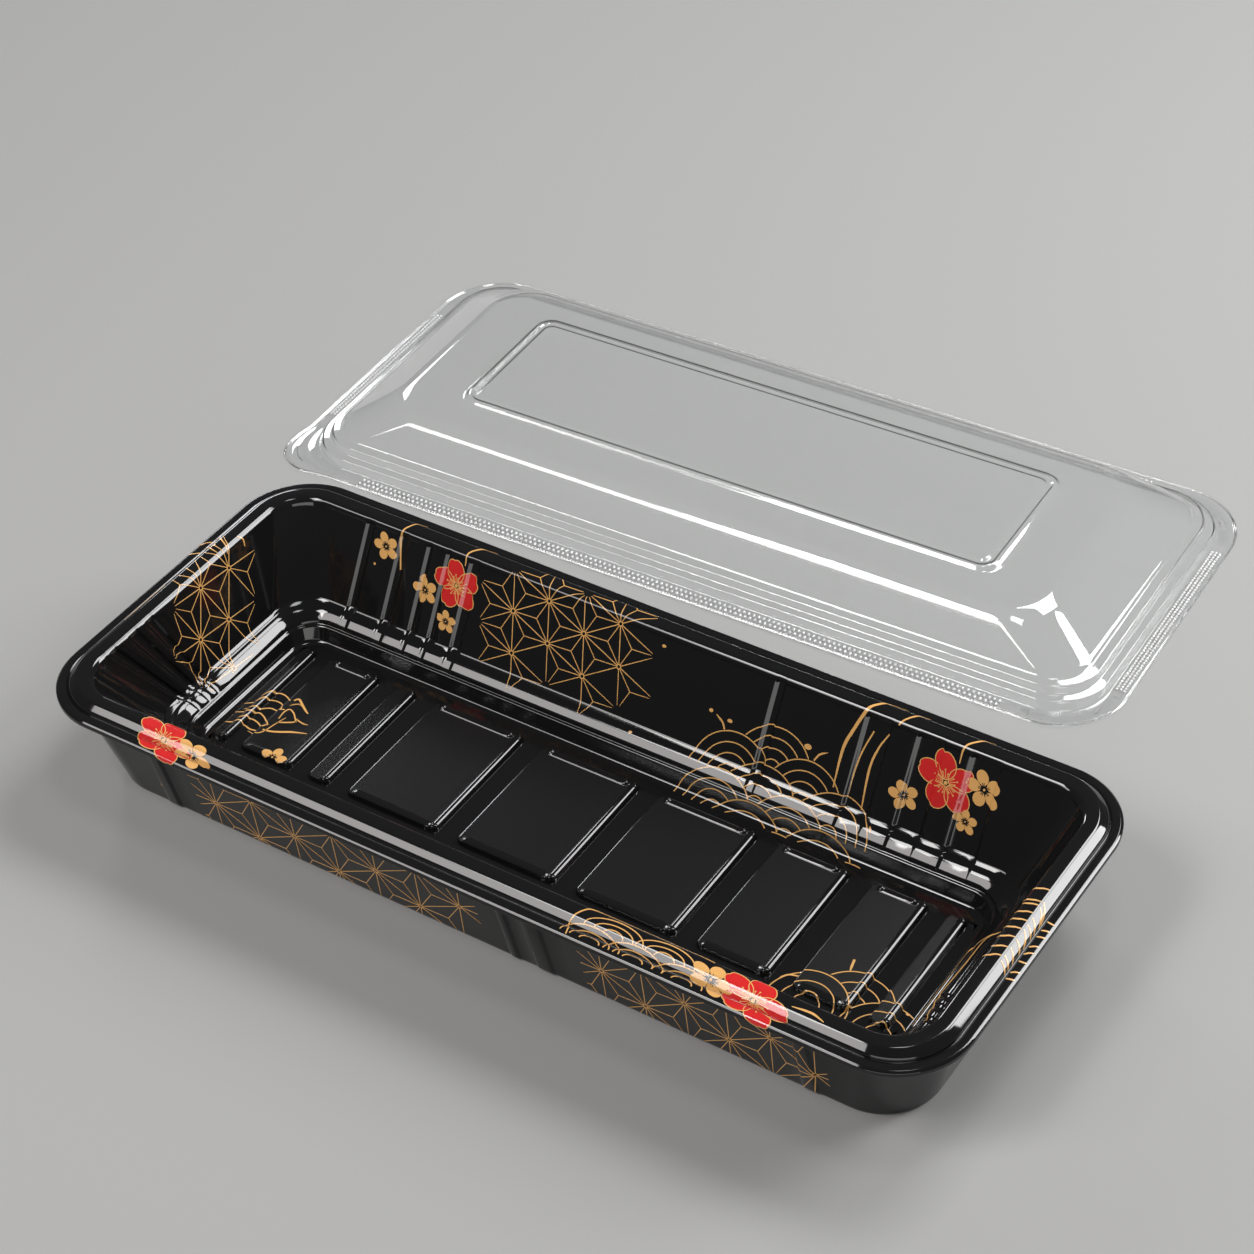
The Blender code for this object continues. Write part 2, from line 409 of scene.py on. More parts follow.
def trayRows():
    sheet = tray["sheet"]
    ledge = tray["ledge"]
    flange = tray["flange"]
    rim = rimHeight - tray["inkRoom"]
    edge = tray["inkRoom"]
    # end inset, side inset, corner radius, height, rounding, share of the basin's cuts and of the skirt's
    return [
        (23, 26.6, 4.8, sheet, 0),
        (21.4, 25, 6.2, sheet, 0.9),
        (19.9, 23.5, 7.1, ledge - 2.75, 0.3),
        (19.3, 22.9, 7.4, ledge - 2.55, 0.2),
        (19, 22.6, 7.6, ledge - 1.85, 0.5, 0.3),
        (17, 20.6, 8.9, ledge, 1, 0.6),
        (16.1, 19.6, 9.6, ledge + 0.08, 0.3, 0.8),
        (15.2, 18.6, 9.9, ledge + 0.75, 0.45, 1),
        (9, 9.3, 9.2, rim - 2.9, 0, 1),
        (8.45, 8.48, 9.2, rim - 1.6, 0.3, 1),
        (8.2, 8.2, 9.2, rim - 0.9, 0.3, 0.1),
        (7.55, 7.55, 9.5, rim, 0.75),
        (4.55, 4.55, 12.3, rim, 0.4),
        (2.95, 2.95, 13.65, rim - 1.28, 0.35),
        (2.7, 2.7, 13.9, flange - 0.25, 0.25),
        (2.3, 2.3, 14.3, flange + 0.05, 0.2),
        (edge + 0.5, edge + 0.5, 16.1, flange + 0.05, 0.15),
        (edge, edge, 16.5, flange - 0.35, 0.15),
        (edge, edge, 16.5, flange - 1.4, 0.3),
        (0.8, 0.8, 15.8, flange - 1.4, 0.2),
        (1.1, 1.1, 15.5, flange - 0.75, 0.2),
        (3.7, 3.7, 13.6, flange - sheet, 0.4),
        (3.95, 3.95, 13.45, flange - 2.2, 0.3),
        (4.2, 4.2, 13.4, flange - 3.2, 0.3, 0, 1),
        (8.9, 8.9, 12.8, 1.2, 0.2, 0, 1),
        (9.2, 9.2, 12.6, 0, 0.35, 0, 0.3),
        (10.4, 10.4, 11.8, 0, 0.3),
        (5, 5, 12.4, flange - 2, 0.3),
        (4.9, 4.9, 12, rim - sheet, 0.5),
        (6.8, 6.8, 10.2, rim - sheet, 0.3),
        (7.3, 7.3, 10, rim - 2, 0.3, 1),
        (14.1, 17.4, 10.8, ledge + 0.1, 0.3, 1),
        (15.4, 19, 10.2, ledge - 1, 0.3),
        (17.7, 21.3, 8.6, ledge - 1.1, 0.4),
        (20, 23.7, 7.2, sheet, 0.4),
        (21, 24.7, 6.4, 0, 0.3),
        (24, 27.7, 4, 0, 0),
    ]


trayPath = roundPath(trayRows(), hiddenFrom=tray["underside"])


def pathLengths(inset):
    run = np.diff(trayPath[:, [inset, 3]], axis=0)
    return np.concatenate([[0], np.cumsum(np.hypot(run[:, 0], run[:, 1]))])


endLengths = pathLengths(0)
sideLengths = pathLengths(1)
# the row of the path where the basin's wall reaches the flat of the rim
rimRow = int(np.argmax(trayPath[:, 3] > rimHeight - tray["inkRoom"] - tray["levelRoom"]))


def sheetPlace(side, along, drop):
    lengths = sideLengths if side in ("front", "back") else endLengths
    reach = lengths[rimRow] - drop
    endInset, sideInset, radius, height, basinCut, skirtCut = (
        np.interp(reach, lengths, trayPath[:, column]) for column in range(6))
    if side in ("front", "back"):
        out = halfWidth - sideInset
        out = out + basinCut * np.interp(along, sideStations, basinSideCut)
        out = out + skirtCut * np.interp(along, sideStations, skirtSideCut)
        return np.stack([along, out if side == "back" else -out, height], -1)
    run = halfWidth - sideInset - radius
    out = halfLength - endInset
    out = out + basinCut * np.interp(along / run, endStations, endCut)
    return np.stack([out if side == "right" else -out, along, height], -1)


def edgeStations(cuts, edge, spacing, limit):
    places = [-limit, limit]
    for start, end in cuts:
        for middle in (start, end):
            places += [middle + edge * share for share in tray["cutSteps"]]
    places += list(np.arange(-limit, limit, spacing))
    return thinned(places, limit, edge * tray["cutGap"])


def cornerPoints(centreX, centreY, radius, start, steps):
    angle = start + np.linspace(0, 1, steps + 1) * math.pi / 2
    return np.stack([centreX + radius * np.cos(angle), centreY + radius * np.sin(angle)], 1)


sideStations = edgeStations(tray["basinCuts"] + tray["skirtCuts"], tray["cutEdge"], *tray["sideStations"])
endStations = edgeStations(tray["endCuts"], tray["endCutEdge"], *tray["endStations"])
basinSideCut = cutShare(tray["basinCuts"], tray["cutEdge"], sideStations) * tray["cutDepth"]
skirtSideCut = cutShare(tray["skirtCuts"], tray["cutEdge"], sideStations) * tray["cutDepth"]
endCut = cutShare(tray["endCuts"], tray["endCutEdge"], endStations) * tray["cutDepth"]


def trayRing(row):
    endInset, sideInset, radius, height, basinCut, skirtCut = row
    reachX = halfLength - endInset
    reachY = halfWidth - sideInset
    runX = reachX - radius
    runY = reachY - radius
    steps = tray["cornerSteps"]
    sideY = reachY + basinCut * basinSideCut + skirtCut * skirtSideCut
    endX = reachX + basinCut * endCut
    parts = [
        np.stack([sideStations, -sideY], 1),
        cornerPoints(runX, -runY, radius, -math.pi / 2, steps),
        np.stack([endX, endStations * runY], 1),
        cornerPoints(runX, runY, radius, 0, steps),
        np.stack([sideStations, sideY], 1)[::-1],
        cornerPoints(-runX, runY, radius, math.pi / 2, steps),
        np.stack([-endX, endStations * runY], 1)[::-1],
        cornerPoints(-runX, -runY, radius, math.pi, steps),
    ]
    ring = np.concatenate(parts)
    ring = np.concatenate([ring, ring[:1]])
    return np.column_stack([ring, np.full(len(ring), height)])


# Floor: raised plates with a bead down the right edge, and one along the back and the front of the wide ones

plates = {
    "edges": ((-84.5, -80.6), (-76.8, -63), (-58.5, -53), (-48, -24.5), (-19.6, 5.1), (10, 34.2),
              (39, 56.2), (61.2, 74.4), (78.5, 83.2)),
    "halfWidth": 16.8,
    "radius": 1.5,
    "rise": 0.8,
    "draft": 0.4,
    "right": {"inset": 1, "radius": 0.85, "rise": 0.48, "ball": 1, "ballRise": 0.62},
    "back": {"inset": 1.1, "radius": 0.85, "rise": 0.384, "ball": 0.8, "ballRise": 0.62},
    "front": {"inset": 1.1, "radius": 1.105, "rise": 0.216},
    "wide": 8,
    "beadEnds": (2.6, 3.2),  # how far the beads at back and front stay from a plate's left and right edge
    "margin": (84.95, 17.25),
    "spacing": 0.17,
    "fine": (3.6, 2.6),  # how far in from a plate's edges the mesh is this fine
    "coarseLines": (6, 4),
    "leastGap": 0.5,  # share of the spacing
}


def beadHeight(distance, radius, rise):
    return rise * np.sqrt(np.clip(1 - (distance / radius) ** 2, 0, 1))


def capsuleDistance(x, y, start, end):
    along = np.array(end) - np.array(start)
    share = np.clip(((x - start[0]) * along[0] + (y - start[1]) * along[1]) / (along @ along), 0, 1)
    return np.hypot(x - start[0] - share * along[0], y - start[1] - share * along[1])


def beadLine(x, y, start, end, bead):
    height = beadHeight(capsuleDistance(x, y, start, end), bead["radius"], bead["rise"])
    if "ball" in bead:
        for ballX, ballY in (start, end):
            ball = beadHeight(np.hypot(x - ballX, y - ballY), bead["ball"], bead["ballRise"])
            height = np.maximum(height, ball)
    return height


def floorHeight(x, y):
    height = np.full(x.shape, tray["sheet"])
    half = plates["halfWidth"]
    radius = plates["radius"]
    for left, right in plates["edges"]:
        outX = np.abs(x - (left + right) / 2) - ((right - left) / 2 - radius)
        outY = np.abs(y) - (half - radius)
        outside = np.hypot(np.maximum(outX, 0), np.maximum(outY, 0))
        inside = radius - (outside + np.minimum(np.maximum(outX, outY), 0))
        plate = plates["rise"] * smoothStep(0, plates["draft"], inside)
        beadX = right - plates["right"]["inset"]
        endY = half - plates["right"]["inset"]
        top = beadLine(x, y, (beadX, -endY), (beadX, endY), plates["right"])
        if right - left > plates["wide"]:
            first = left + plates["beadEnds"][0]
            last = right - plates["beadEnds"][1]
            for bead, sign in ((plates["back"], 1), (plates["front"], -1)):
                beadY = sign * (half - bead["inset"])
                top = np.maximum(top, beadLine(x, y, (first, beadY), (last, beadY), bead))
        height = np.maximum(height, tray["sheet"] + plate + np.where(inside > 0, top, 0))
    return height


def plateLines():
    step = plates["spacing"]
    limitX, limitY = plates["margin"]
    fineX, fineY = plates["fine"]
    countX, countY = plates["coarseLines"]
    xs = [-limitX, limitX]
    for left, right in plates["edges"]:
        reach = min(fineX, (right - left) / 2)
        xs += list(np.arange(left - step, left + reach, step))
        xs += list(np.arange(right + step, right - reach, -step))
        xs += list(np.linspace(left, right, countX))
    half = plates["halfWidth"]
    ys = list(np.arange(half + step, half - fineY, -step)) + list(np.linspace(0, half - fineY, countY))
    ys = ys + [-y for y in ys] + [-limitY, limitY]
    xs = thinned(xs, limitX, step * plates["leastGap"])
    ys = thinned(ys, limitY, step * plates["leastGap"])
    xs[-1] = limitX
    ys[-1] = limitY
    return xs, ys


reliefX, reliefY = plateLines()
gridX, gridY = np.meshgrid(reliefX, reliefY)
reliefHeight = floorHeight(gridX, gridY)


def floorSheet(x, y):
    column = np.clip(np.searchsorted(reliefX, x) - 1, 0, len(reliefX) - 2)
    row = np.clip(np.searchsorted(reliefY, y) - 1, 0, len(reliefY) - 2)
    shareX = (x - reliefX[column]) / (reliefX[column + 1] - reliefX[column])
    shareY = (y - reliefY[row]) / (reliefY[row + 1] - reliefY[row])
    near = reliefHeight[row, column] * (1 - shareX) + reliefHeight[row, column + 1] * shareX
    far = reliefHeight[row + 1, column] * (1 - shareX) + reliefHeight[row + 1, column + 1] * shareX
    return near * (1 - shareY) + far * shareY


def buildTray():
    rings = np.stack([trayRing(row) for row in trayPath])
    body = bendGrid("trayBody", rings[:, ::-1])
    mergeSeam(body)
    relief = bendGrid("trayRelief", np.stack([gridX, gridY, reliefHeight], -1))
    makeActive(body)
    relief.select_set(True)
    bpy.ops.object.join()
    renamePiece(body, "tray_body")
    middle = tray["sheet"] / 2
    closeEdges(body, lambda place: place.z > middle, bpy.ops.mesh.fill)
    closeEdges(body, lambda place: place.z < middle, bpy.ops.mesh.edge_face_add)
    mergeSeam(body)
    shadeSmooth(body, tray["smooth"])
    body.data.materials.append(blackMaterial)
    return body


trayBody = buildTray()
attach(trayBody, "root")
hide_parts("tray")
print("tray body:", len(trayBody.data.polygons), "faces")

# Print: gold lines and blossoms laid on the tray's sheet. A place on the sheet is how far along the side it
# is and how far down from the rim's inner edge, below zero on the rim and outside

inks = {
    "gold": {"colour": (0.50, 0.27, 0.085, 1), "gloss": 0.24, "index": 1.5},
    "red": {"colour": (0.42, 0.014, 0.014, 1), "gloss": 0.14, "index": 1.5},
    "dark": {"colour": (0.010, 0.009, 0.008, 1), "gloss": 0.16, "index": 1.5},
}
ink = {
    "lift": 0.05,
    "layer": 0.005,  # what one layer adds to the lift
    "thickness": 0.045,
    "step": 0.2,
    "bend": 0.014,
    "probe": 0.06,  # how far round a place the sheet's slope is taken
    "shortest": 0.15,
    "narrows": 0.35,  # share of a line over which its end narrows
    "smooth": 50,
    "cloud": {"Scale": 220, "Detail": 3},
    "shade": 0.78,
}
normalSigns = {"front": 1, "back": -1, "left": -1, "right": 1, "floor": 1}
patches = {name: [] for name in inks}


def inkPlace(side, places):
    along, down = places[..., 0], places[..., 1]
    if side == "floor":
        return np.stack([along, down, floorSheet(along, down)], -1)
    points = sheetPlace(side, along, down)
    if side == "back":  # past the wall's foot the print runs on over the floor
        points[..., 1] -= np.maximum(down - sideLengths[rimRow], 0)
    return points


def inkPoints(side, places, lift):
    probe = ink["probe"]
    right = inkPlace(side, places + (probe, 0))
    left = inkPlace(side, places - (probe, 0))
    lower = inkPlace(side, places + (0, probe))
    upper = inkPlace(side, places - (0, probe))
    normal = np.cross(right - left, lower - upper) * normalSigns[side]
    normal = normal / np.maximum(np.linalg.norm(normal, axis=-1, keepdims=True), 1e-9)
    return inkPlace(side, places) + normal * lift


def addPatch(colour, side, grid, layer=0, centre=None):
    patches[colour].append((side, np.array(grid, float), ink["lift"] + layer * ink["layer"], centre))


def circle(sides, turns=1):
    angle = np.linspace(0, 2 * math.pi * turns, sides + 1)
    return np.stack([np.cos(angle), np.sin(angle)], 1)


def smoothLine(points, count=12):
    points = np.array(points, float)
    padded = np.concatenate([[2 * points[0] - points[1]], points, [2 * points[-1] - points[-2]]])
    line = []
    for a, b, c, d in zip(padded, padded[1:], padded[2:], padded[3:]):
        for share in np.arange(count) / count:
            line.append(0.5 * (2 * b + (c - a) * share + (2 * a - 5 * b + 4 * c - d) * share ** 2
                               + (3 * b - a - 3 * c + d) * share ** 3))
    line.append(points[-1])
    return np.array(line)


def bendRows(space):
    # keeps the stations where the line bends by more than the set bend, and drops the ones between
    kept = [0]
    end = 2
    while end < len(space):
        start = kept[-1]
        share = ((np.arange(start + 1, end) - start) / (end - start))[:, None]
        straight = space[start] + share * (space[end] - space[start])
        if np.abs(space[start + 1:end] - straight).max() > ink["bend"]:
            kept.append(end - 1)
            end = kept[-1] + 2
        else:
            end += 1
    return kept + [len(space) - 1]


def addLine(colour, side, points, width, layer=0, taper=(1.0, 1.0), closed=False):
    points = np.array(points, float)
    reach = np.concatenate([[0], np.cumsum(np.hypot(*np.diff(points, axis=0).T))])
    if reach[-1] < ink["shortest"]:
        return
    count = max(3, int(math.ceil(reach[-1] / ink["step"])) + 1)
    at = np.linspace(0, reach[-1], count)
    line = np.stack([np.interp(at, reach, points[:, 0]), np.interp(at, reach, points[:, 1])], 1)
    heading = np.gradient(line, axis=0)
    if closed:
        heading[0] = heading[-1] = line[1] - line[-2]
    heading /= np.maximum(np.hypot(heading[:, 0], heading[:, 1]), 1e-9)[:, None]
    across = np.stack([-heading[:, 1], heading[:, 0]], 1)
    share = np.linspace(0, 1, count)
    halfWidths = width / 2
    for narrow, distance in zip(taper, (share, 1 - share)):
        halfWidths = halfWidths * (narrow + (1 - narrow) * np.minimum(distance / ink["narrows"], 1))
    grid = np.stack([line + across * (halfWidths * edge)[:, None] for edge in (-1, 0, 1)], 1)
    kept = bendRows(inkPlace(side, grid).reshape(count, -1))
    addPatch(colour, side, grid[kept], layer)


def addDisc(colour, side, centre, radius, layer=0, stretch=1.0, rings=2, sides=12):
    ring = circle(sides) * radius * (stretch, 1)
    grid = [np.array(centre) + ring * share for share in np.linspace(0, 1, rings + 1)[1:]]
    addPatch(colour, side, grid, layer, centre)


# Star lattice: six triangles stand around each star, each with its edges and a spoke to each of its corners

starLattices = (
    {"side": "back", "origin": (-38, 8.9), "stepA": (2.1, 9), "stepB": (10.1, 4),
     "down": (-2.6, 26.2),
     "stars": ((0, 0), (-1, 1), (1, 0), (0, 1), (-1, 2), (-2, 3), (0, 2), (-1, 3))},
    {"side": "left", "origin": (2.3, 4.1), "stepA": (9.3, 0.9), "stepB": (3.1, 10.4),
     "down": (-2.2, 24.6),
     "stars": ((0, 0), (1, 0), (0, 1), (-1, 1), (-1, 2))},
    {"side": "front", "origin": (-64.2, -27.6), "stepA": (9.4, -6.9), "stepB": (11.5, 7.7),
     "down": (-36.2, -12.5), "along": (-69.6, 3),
     "stars": ((0, 0), (1, 0), (0, 1), (1, 1), (2, 1), (1, 2), (2, 2), (3, 2), (2, 3), (3, 3))},
    {"side": "front", "origin": (32.2, -25.6), "stepA": (8.9, -6.8), "stepB": (10.4, 8.5),
     "down": (-36.2, -12.5), "along": (27.2, 82.6),
     "stars": ((0, 0), (1, 0), (0, 1), (1, 1), (2, 1), (1, 2), (2, 2), (3, 2))},
)
starLine = {
    "width": 0.21,
    "spokeWidth": 0.18,
    "hole": 0.5,
    "openEdge": 0.9,  # share of a line that is drawn where no star stands at its end
    "openSpoke": 0.8,
    "openTaper": 0.45,
    "layers": (0, 0.25, 0.5, 0.75),
    "ring": 0.5,
    "ringWidth": 0.24,
    "ringSides": 16,
    "ringLayer": 1.2,
}


def clipLine(start, end, along, down):
    low, high = 0.0, 1.0
    for axis, limits in enumerate((along, down)):
        for limit, side in zip(limits, (1, -1)):
            first = (start[axis] - limit) * side
            last = (end[axis] - limit) * side
            if first < 0 and last < 0:
                return None
            if first < 0:
                low = max(low, first / (first - last))
            if last < 0:
                high = min(high, first / (first - last))
    if low >= high:
        return None
    return start + (end - start) * low, start + (end - start) * high


def addStarLattice(settings):
    origin, stepA, stepB = (np.array(settings[key]) for key in ("origin", "stepA", "stepB"))
    low, high = settings["down"]
    along = settings.get("along", (-halfLength, halfLength))
    stars = set(settings["stars"])
    triangles = set()
    for i, j in stars:
        for a, b in ((0, 0), (-1, 0), (0, -1)):
            triangles.add(((i + a, j + b), (i + a + 1, j + b), (i + a, j + b + 1)))
            triangles.add(((i + a, j + b), (i + a - 1, j + b), (i + a, j + b - 1)))
    triangles = {tuple(sorted(corners)) for corners in triangles if stars & set(corners)}
    lines = {}
    for corners in sorted(triangles):
        places = [origin + a * stepA + b * stepB for a, b in corners]
        middle = sum(places) / 3
        whole = [key in stars for key in corners]
        for index, (key, place) in enumerate(zip(corners, places)):
            other = (index + 1) % 3
            ends = sorted(((key, place, whole[index]), (corners[other], places[other], whole[other])),
                          key=lambda end: (not end[2], end[0]))
            if ends[0][2]:
                lines[(ends[0][0], ends[1][0])] = (ends[0][1], ends[1][1], ends[1][2], starLine["width"])
            lines[(key, corners)] = (middle, place, whole[index], starLine["spokeWidth"])
    for index, (start, end, reaches, width) in enumerate(lines.values()):
        heading = (end - start) / np.hypot(*(end - start))
        fromStar = width == starLine["width"]
        first = start + heading * (starLine["hole"] if fromStar else 0)
        openShare = starLine["openEdge"] if fromStar else starLine["openSpoke"]
        last = end - heading * starLine["hole"] if reaches else start + (end - start) * openShare
        clipped = clipLine(first, last, along, (low, high))
        if clipped:
            layer = starLine["layers"][index % len(starLine["layers"])]
            taper = (1.0, 1.0 if reaches else starLine["openTaper"])
            addLine("gold", settings["side"], clipped, width, layer, taper)
    for i, j in sorted(stars):
        place = origin + i * stepA + j * stepB
        if low < place[1] < high:
            ring = place + starLine["ring"] * circle(starLine["ringSides"])
            addLine("gold", settings["side"], ring, starLine["ringWidth"], starLine["ringLayer"], closed=True)


for lattice in starLattices:
    addStarLattice(lattice)

# Waves: fans of arcs in staggered rows, each cut off by the fans in front of it

waveFans = (
    {"side": "back", "radius": (9.1, 9.3), "pitch": 17.5, "row": 4.35, "lean": -0.35,
     "origin": (21.4, 25), "down": (0, 33.4), "upwards": -1, "arcs": 4,
     "fans": ((0.5, -1), (0, 0), (1, 0), (0.5, 1), (1.5, 1), (0, 2), (1, 2), (0.5, 3), (1.5, 3),
              (1, 4), (2, 4))},
    {"side": "floor", "radius": (8.6, 8.6), "pitch": 16, "row": 4.2, "lean": 0,
     "origin": (66, -19), "down": (-20, -2), "upwards": 1, "arcs": 3,
     "fans": ((0.5, -1), (0, 0), (1, 0))},
    {"side": "front", "radius": (6.6, 3.4), "pitch": 11.5, "row": 3.2, "lean": 0,
     "origin": (37.5, -3.2), "down": (-7.6, 0.9), "upwards": 1, "arcs": 3,
     "fans": ((0, 0), (1, 0), (-0.35, 1), (0.5, 1), (1.45, 1))},
)
waveLine = {
    "width": 0.25,
    "count": 48,
    "layer": 0.15,
    "cover": 0.999,  # share of its radius within which a fan hides the ones behind it
    "coverRows": 3,
}


def addWaveFans(settings):
    origin = np.array(settings["origin"])
    radius = np.array(settings["radius"])
    up = settings["upwards"]
    centres = {}
    for across, row in settings["fans"]:
        shift = (across * settings["pitch"] + row * settings["lean"], -row * settings["row"] * up)
        centres[(across, row)] = origin + shift
    low, high = settings["down"]
    halfCircle = circle(waveLine["count"], 0.5) * (1, up)
    arcs = settings["arcs"]
    for fan, centre in centres.items():
        front = [other for key, other in centres.items() if 0 < key[1] - fan[1] <= waveLine["coverRows"]]
        for index in range(arcs):
            share = 1 - index / arcs
            arc = centre + radius * share * halfCircle
            shown = (arc[:, 1] > low) & (arc[:, 1] < high)
            for other in front:
                shown &= np.hypot(*((arc - other) / radius).T) > waveLine["cover"]
            breaks = np.flatnonzero(np.diff(shown)) + 1
            for run, seen in zip(np.split(arc, breaks), np.split(shown, breaks)):
                if seen[0] and len(run) > 1:
                    addLine("gold", settings["side"], run, waveLine["width"], waveLine["layer"] * index)


for fans in waveFans:
    addWaveFans(fans)

# Strokes and drops: for each side the places, the width and how far each end narrows

strokes = {"back": (
    (((54.8, -4.4), (51.9, -3.7), (48.9, -1.2), (47.6, 1.1), (45.8, 6.4), (44.8, 10.8),
      (45, 19.1)), 0.72, (0.4, 0.35)),
    (((50.2, 5.2), (48.9, 10), (48.4, 15), (48.5, 19.7)), 0.34, (0.9, 0.2)),
    (((59.8, -4.2), (56.9, -1.4), (55.2, 1.6)), 0.42, (0.3, 0.9)),
    (((53.7, 4.5), (52.2, 8), (51.4, 13), (52.1, 21.8)), 0.5, (0.6, 0.4)),
    (((70, 4.6), (70, 1.6), (71.2, -0.8), (74.8, -4.2)), 0.45, (0.5, 0.3)),
    (((-68.4, 10), (-69.6, 5.5), (-70, 2.2), (-68.9, -1.4), (-66.5, -4.2)), 0.42, (1, 0.3)),
    (((-52.3, 3.4), (-52.4, 0.4), (-50.8, -2), (-47.6, -4.2)), 0.42, (0.5, 0.3)),
    (((15.2, 13.7), (17, 14.8), (17.9, 16.2)), 0.42, (0.4, 0.9)),
    (((39.3, 15.3), (40.2, 13.6), (41.9, 12.6)), 0.42, (0.9, 0.3)),
    (((55.5, 24), (56.2, 25.2)), 0.5, (0.5, 0.5)),
), "right": (
    (((12, 21.5), (9, 23.6), (3, 24), (-2.3, 24.5), (-7.4, 25),
      (-15.4, 23.4)), 0.45, (0.4, 0.4)),
    (((12.5, 20.5), (8, 26.2), (2, 27.6), (-6, 28.2), (-14, 29)), 0.42, (0.4, 0.5)),
), "floor": (
    (((58.1, -15), (59.4, -13.6), (61.4, -13)), 0.4, (0.3, 0.9)),
    (((69.6, -7.4), (69.2, -6), (68.8, -4.2)), 0.5, (0.4, 1)),
    (((-80.2, -10.2), (-78.5, -10.6), (-76.8, -10.3)), 0.36, (0.7, 0.9)),
    (((-75.4, -9.9), (-73.6, -9.6), (-71.6, -8.7), (-69.7, -7.6), (-67.6, -6.7),
      (-66.1, -6.2)), 0.55, (0.7, 0.3)),
    (((-78.5, -11.3), (-76, -11.5), (-74.9, -10.4), (-74.4, -8.6), (-73.9, -6.4),
      (-73.3, -4.4)), 0.28, (0.5, 0.5)),
    (((-74.1, -6.5), (-72.7, -5.8), (-71.4, -5), (-70.4, -4.2)), 0.4, (0.8, 0.8)),
    (((-74.5, -5.4), (-74.8, -3.2), (-74.3, -1.8), (-72.9, -2.2), (-71.5, -3.4),
      (-70.5, -4.5)), 0.34, (0.6, 0.9)),
    (((-75, -0.8), (-74.4, 0), (-73.5, 0.6), (-72.6, 0.4)), 0.26, (0.5, 0.4)),
    (((-75.2, 1), (-74.5, 1.9), (-73, 1), (-71.2, -0.2), (-69.9, -0.9)), 0.55, (0.7, 0.6)),
    (((-71.2, -3.5), (-69.8, -3.9), (-68.6, -4), (-67.7, -3.8)), 0.34, (0.6, 0.4)),
    (((-82.1, -1.6), (-81.2, 0.6), (-80.2, 1.9), (-78.9, 2.1), (-77.5, 1.7),
      (-75.9, 0.5)), 0.34, (0.4, 0.8)),
    (((-84.6, -5.6), (-82.4, -3.8), (-81.4, -1.9), (-80.3, -0.8), (-78.7, -0.4), (-77.1, -0.8),
      (-76, -2.6)), 0.34, (0.4, 0.8)),
    (((-83.1, -6.7), (-81.4, -5.2), (-79.8, -3.6), (-78.5, -2.9), (-76.6, -2.9),
      (-75.2, -2.4)), 0.34, (0.4, 0.8)),
    (((-84.8, -8.9), (-83.2, -7.9), (-81.2, -6.6), (-80, -5.4), (-78.3, -5.9), (-77.1, -6.7),
      (-75.3, -8.2)), 0.34, (0.4, 0.8)),
    (((-82.6, -9.9), (-81.7, -9.3), (-80.9, -8.2), (-79.9, -7.8), (-78.2, -8.1), (-76.3, -9),
      (-75.6, -8.2)), 0.34, (0.5, 0.8)),
    (((-84.4, -12.2), (-82.7, -11.4), (-81.4, -10.4), (-80.2, -10.2)), 0.34, (0.5, 0.8)),
), "left": (
    (((12.2, -7.4), (14.5, -6), (15.5, -2.9), (13, 2.2)), 0.34, (0.5, 0.5)),
    (((9, -7.2), (11.4, -4), (11, 0.5)), 0.34, (0.5, 0.5)),
    (((17.7, 0.6), (18.6, 2), (18.2, 3.6)), 0.36, (0.5, 0.5)),
    (((-16.5, -3.2), (-9, -3.4), (-3, -3)), 0.3, (0.2, 0.2)),
), "front": (
    (((28.6, -7), (28, -4.1), (29.2, -0.6), (31.6, 0.8), (40, 1.2), (52, 1.2),
      (58, 0.6)), 0.42, (0.6, 0.4)),
    (((76, -1.6), (80, -1.2), (83, -2)), 0.5, (0.3, 0.3)),
)}
drops = (
    ("back", (13.8, 13.3), 0.42, 1.2), ("back", (18.6, 14), 0.4, 1.6), ("back", (37.2, 13), 0.62, 1.4),
    ("back", (-2.6, 24.5), 0.34, 1.3), ("back", (-0.6, 4), 0.34, 1.5), ("back", (-75, 10.4), 0.3, 1),
    ("front", (-79.4, -29.6), 0.42, 1), ("floor", (84.6, -11), 0.3, 1.6),
)
strokeLayer = 1.6
dropLayer = 1

# arcs over the right end's rim: on its flat, down its slope and on the flange. Each has its place, where it
# starts and how far it reaches, and a band bends its arcs alike, in shares of the reach
rimArcs = {
    "side": "right",
    "width": 0.4,
    "bands": (
        {"bend": ((0.25, 0.2), (0.8, -0.8), (1, -1.9)), "taper": (0.5, 0.7),
         "arcs": ((9.4, 1.6, 0.9), (6, 1.8, 0.7), (4.8, 1.2, 0.8), (2.3, 1.8, 1), (0.1, 1.8, 0.8),
                  (-2.3, 1.8, 0.8), (-5.2, 1.5, 1.2), (-8.2, 1, 1.2), (-11, 1.5, 1.5))},
        {"bend": ((0.3, -3.5), (0.75, -4.3), (1, -4.8)), "taper": (0.6, 0.6),
         "arcs": ((6.9, -2.4, -4.3), (5.4, -2.4, -3.7), (2.2, -2.4, -2.5), (0.2, -2.4, -2),
                  (-1.3, -2.4, -3.3), (-4.3, -2.4, -2.1), (-6.7, -2.4, -2.4), (-9.1, -2.4, -1.8),
                  (-10.6, -2.4, -1.6))},
        {"bend": ((0.7, -6.4), (1, -7.3)), "taper": (0.7, 0.5),
         "arcs": ((4.2, -5.6, -0.2), (1.6, -5.6, 0.4), (-0.3, -5.6, 0.4), (-3.4, -5.6, 0.9),
                  (-5.6, -5.6, 1.2), (-7.6, -5.6, 0.1), (-11, -5.6, 0.8), (-12.8, -5.6, 0.4))},
    ),
}


